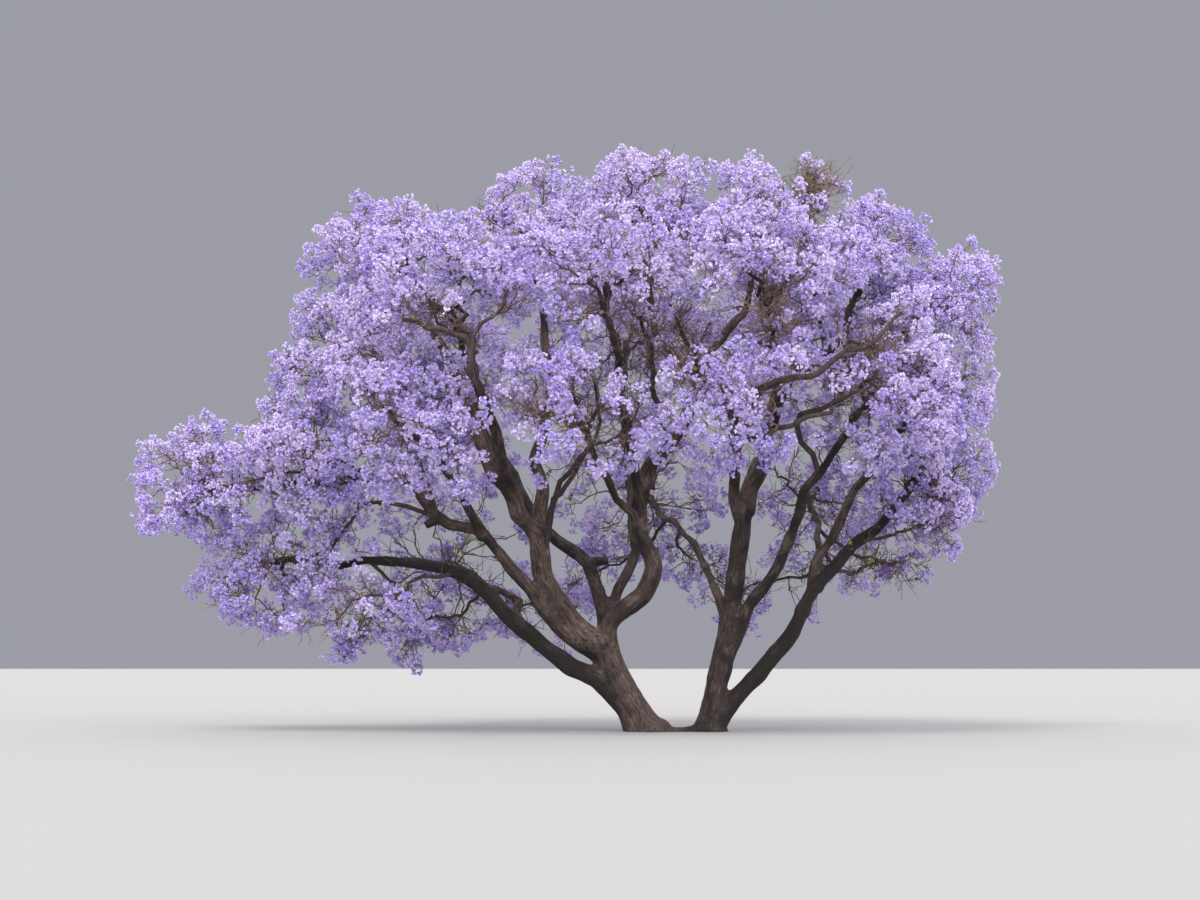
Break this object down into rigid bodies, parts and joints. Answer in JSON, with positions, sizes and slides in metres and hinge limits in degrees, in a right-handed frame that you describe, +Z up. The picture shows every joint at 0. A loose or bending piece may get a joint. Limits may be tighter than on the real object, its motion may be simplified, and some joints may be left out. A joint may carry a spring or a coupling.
{
  "type": "jacaranda tree",
  "caption": "Jacaranda tree in full bloom: leaning stems from one root crown, spreading crooked boughs and a broad, open dome of lilac blossom.",
  "frame": {"origin": "on the flat cut under the root crown, at ground level, between the feet of the stems", "axes": "+X along the crown's longest spread, to the right as seen in the picture; +Z up, out of the ground; -Y towards the side the picture shows"},
  "size_m": [16.9743, 11.3785, 11.5225],
  "materials": {
    "bark": "rough, fissured and mottled",
    "blossom": "matte lilac petals"
  },
  "bodies": {
    "root": {"root_crown": "bark", "left_stem": "bark", "right_stem": "bark", "back_left_bough": "bark", "back_middle_bough": "bark", "back_middle_low_bough": "bark", "back_right_bough": "bark", "back_right_low_bough": "bark", "front_left_bough": "bark", "front_left_low_bough": "bark", "front_middle_bough": "bark", "front_middle_low_bough": "bark", "front_right_bough": "bark", "hanging_bough": "bark", "inner_left_bough": "bark", "left_middle_bough": "bark", "low_left_bough": "bark", "low_right_bough": "bark", "main_left_bough": "bark", "outer_right_bough": "bark", "right_bough": "bark", "right_shoulder_bough": "bark", "s_bough": "bark", "second_left_bough": "bark", "shoulder_bough": "bark", "top_bough": "bark", "top_right_bough": "bark", "upper_right_bough": "bark", "upright_bough": "bark", "back_left_bloom": "blossom", "back_left_low_bloom": "blossom", "back_middle_bloom": "blossom", "back_middle_low_bloom": "blossom", "back_right_bloom": "blossom", "back_right_low_bloom": "blossom", "far_left_bloom": "blossom", "front_left_bloom": "blossom", "front_left_low_bloom": "blossom", "front_middle_bloom": "blossom", "front_middle_low_bloom": "blossom", "front_right_bloom": "blossom", "front_right_low_bloom": "blossom", "left_crest_bloom": "blossom", "left_middle_bloom": "blossom", "left_shoulder_bloom": "blossom", "low_left_bloom": "blossom", "right_crest_bloom": "blossom", "right_front_bloom": "blossom", "right_low_bloom": "blossom", "right_middle_bloom": "blossom", "right_shoulder_bloom": "blossom", "top_bloom": "blossom", "top_left_bloom": "blossom", "top_right_bloom": "blossom"}
  },
  "joints": []
}
